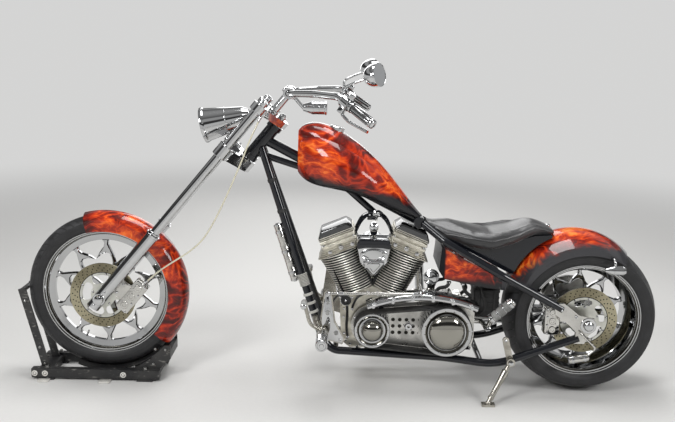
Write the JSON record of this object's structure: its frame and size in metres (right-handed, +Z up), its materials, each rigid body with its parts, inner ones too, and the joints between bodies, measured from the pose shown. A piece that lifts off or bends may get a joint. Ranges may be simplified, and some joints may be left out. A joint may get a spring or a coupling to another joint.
{
  "type": "chopper motorcycle",
  "caption": "Long raked custom motorcycle with V-twin engine, rigid frame, wide rear tyre and flame paint, upright in a floor chock for its front wheel.",
  "frame": {"origin": "on the floor, under the middle of the whole object's length and width", "axes": "+X from the front wheel to the rear wheel, +Y to the bike's right side, +Z up"},
  "size_m": [2.8268, 0.8374, 1.4296],
  "materials": {
    "tyre_rubber": "matt black rubber, worn grey",
    "chrome_wheel": "mirror chrome",
    "chrome": "mirror chrome",
    "disc_steel": "ground steel with a yellow cast",
    "drive_steel": "oiled steel",
    "polished_aluminium": "polished",
    "fin_aluminium": "dark with bright fin edges",
    "rocker_grey": "dark grey satin",
    "cast_aluminium": "fine cast, satin",
    "frame_black": "black gloss",
    "flame_paint": "gloss orange-red flames over dark metallic",
    "seat_leather": "black, soft sheen",
    "belt_rubber": "matt black",
    "grip_rubber": "black rubber with bright bands",
    "hose_braid": "clear-coated braid",
    "lens_glass": "clear",
    "chock_black": "black powder coat, scuffed"
  },
  "bodies": {
    "frame": {"backbone": "frame_black", "down_tubes": "frame_black", "lower_rails": "frame_black", "upper_rails": "frame_black", "cross_tubes": "frame_black", "axle_plates": "polished_aluminium", "fuel_tank": "flame_paint", "fuel_cap": "chrome", "seat": "seat_leather", "seat_base": "frame_black", "rear_fender": "flame_paint", "rear_signals": "chrome", "tail_canister": "polished_aluminium", "oil_tank": "flame_paint", "engine_case": "cast_aluminium", "cylinders": "fin_aluminium", "rocker_boxes": "rocker_grey", "v_cover": "chrome", "air_cleaner": "chrome", "primary_plate": "polished_aluminium", "primary_pulleys": "chrome", "primary_belt": "belt_rubber", "belt_guard": "chrome", "transmission": "polished_aluminium", "exhaust_pipes": "chrome", "drive_chain": "drive_steel", "foot_controls": "polished_aluminium", "shift_linkage": "polished_aluminium", "passenger_pegs": "polished_aluminium", "front_canister": "polished_aluminium", "rear_caliper": "polished_aluminium", "rear_axle": "drive_steel", "stand_bracket": "polished_aluminium"},
    "fork": {"fork_legs": "chrome", "triple_trees": "chrome", "handlebar": "chrome", "grips": "grip_rubber", "hand_controls": "chrome", "mirrors": "chrome", "gauge_pod": "chrome", "headlight_shell": "chrome", "headlight_lens": "lens_glass", "front_fender": "flame_paint", "front_axle": "drive_steel", "front_caliper": "polished_aluminium", "brake_hose": "hose_braid", "wheel_chock": "chock_black"},
    "front_wheel": {"front_tyre": "tyre_rubber", "front_rim": "chrome_wheel", "front_disc": "disc_steel"},
    "rear_wheel": {"rear_tyre": "tyre_rubber", "rear_rim": "chrome_wheel", "rear_disc": "disc_steel", "rear_sprocket": "drive_steel"},
    "side_stand": {"side_stand": "polished_aluminium"}
  },
  "joints": [
    {"name": "steering", "type": "hinge", "parent": "frame", "child": "fork", "pos_m": [-0.3261, 0, 1.0796], "axis": [0.6361, 0, 0.7716], "range_deg": [-35, 35]},
    {"name": "front_wheel_spin", "type": "hinge", "parent": "fork", "child": "front_wheel", "pos_m": [-1.025, 0, 0.389], "axis": [0, 1, 0], "continuous": true},
    {"name": "rear_wheel_spin", "type": "hinge", "parent": "frame", "child": "rear_wheel", "pos_m": [1.085, 0, 0.335], "axis": [0, 1, 0], "continuous": true},
    {"name": "side_stand_fold", "type": "hinge", "parent": "frame", "child": "side_stand", "pos_m": [0.758, -0.221, 0.172], "axis": [0, 1, 0], "range_deg": [-115, 0]}
  ]
}
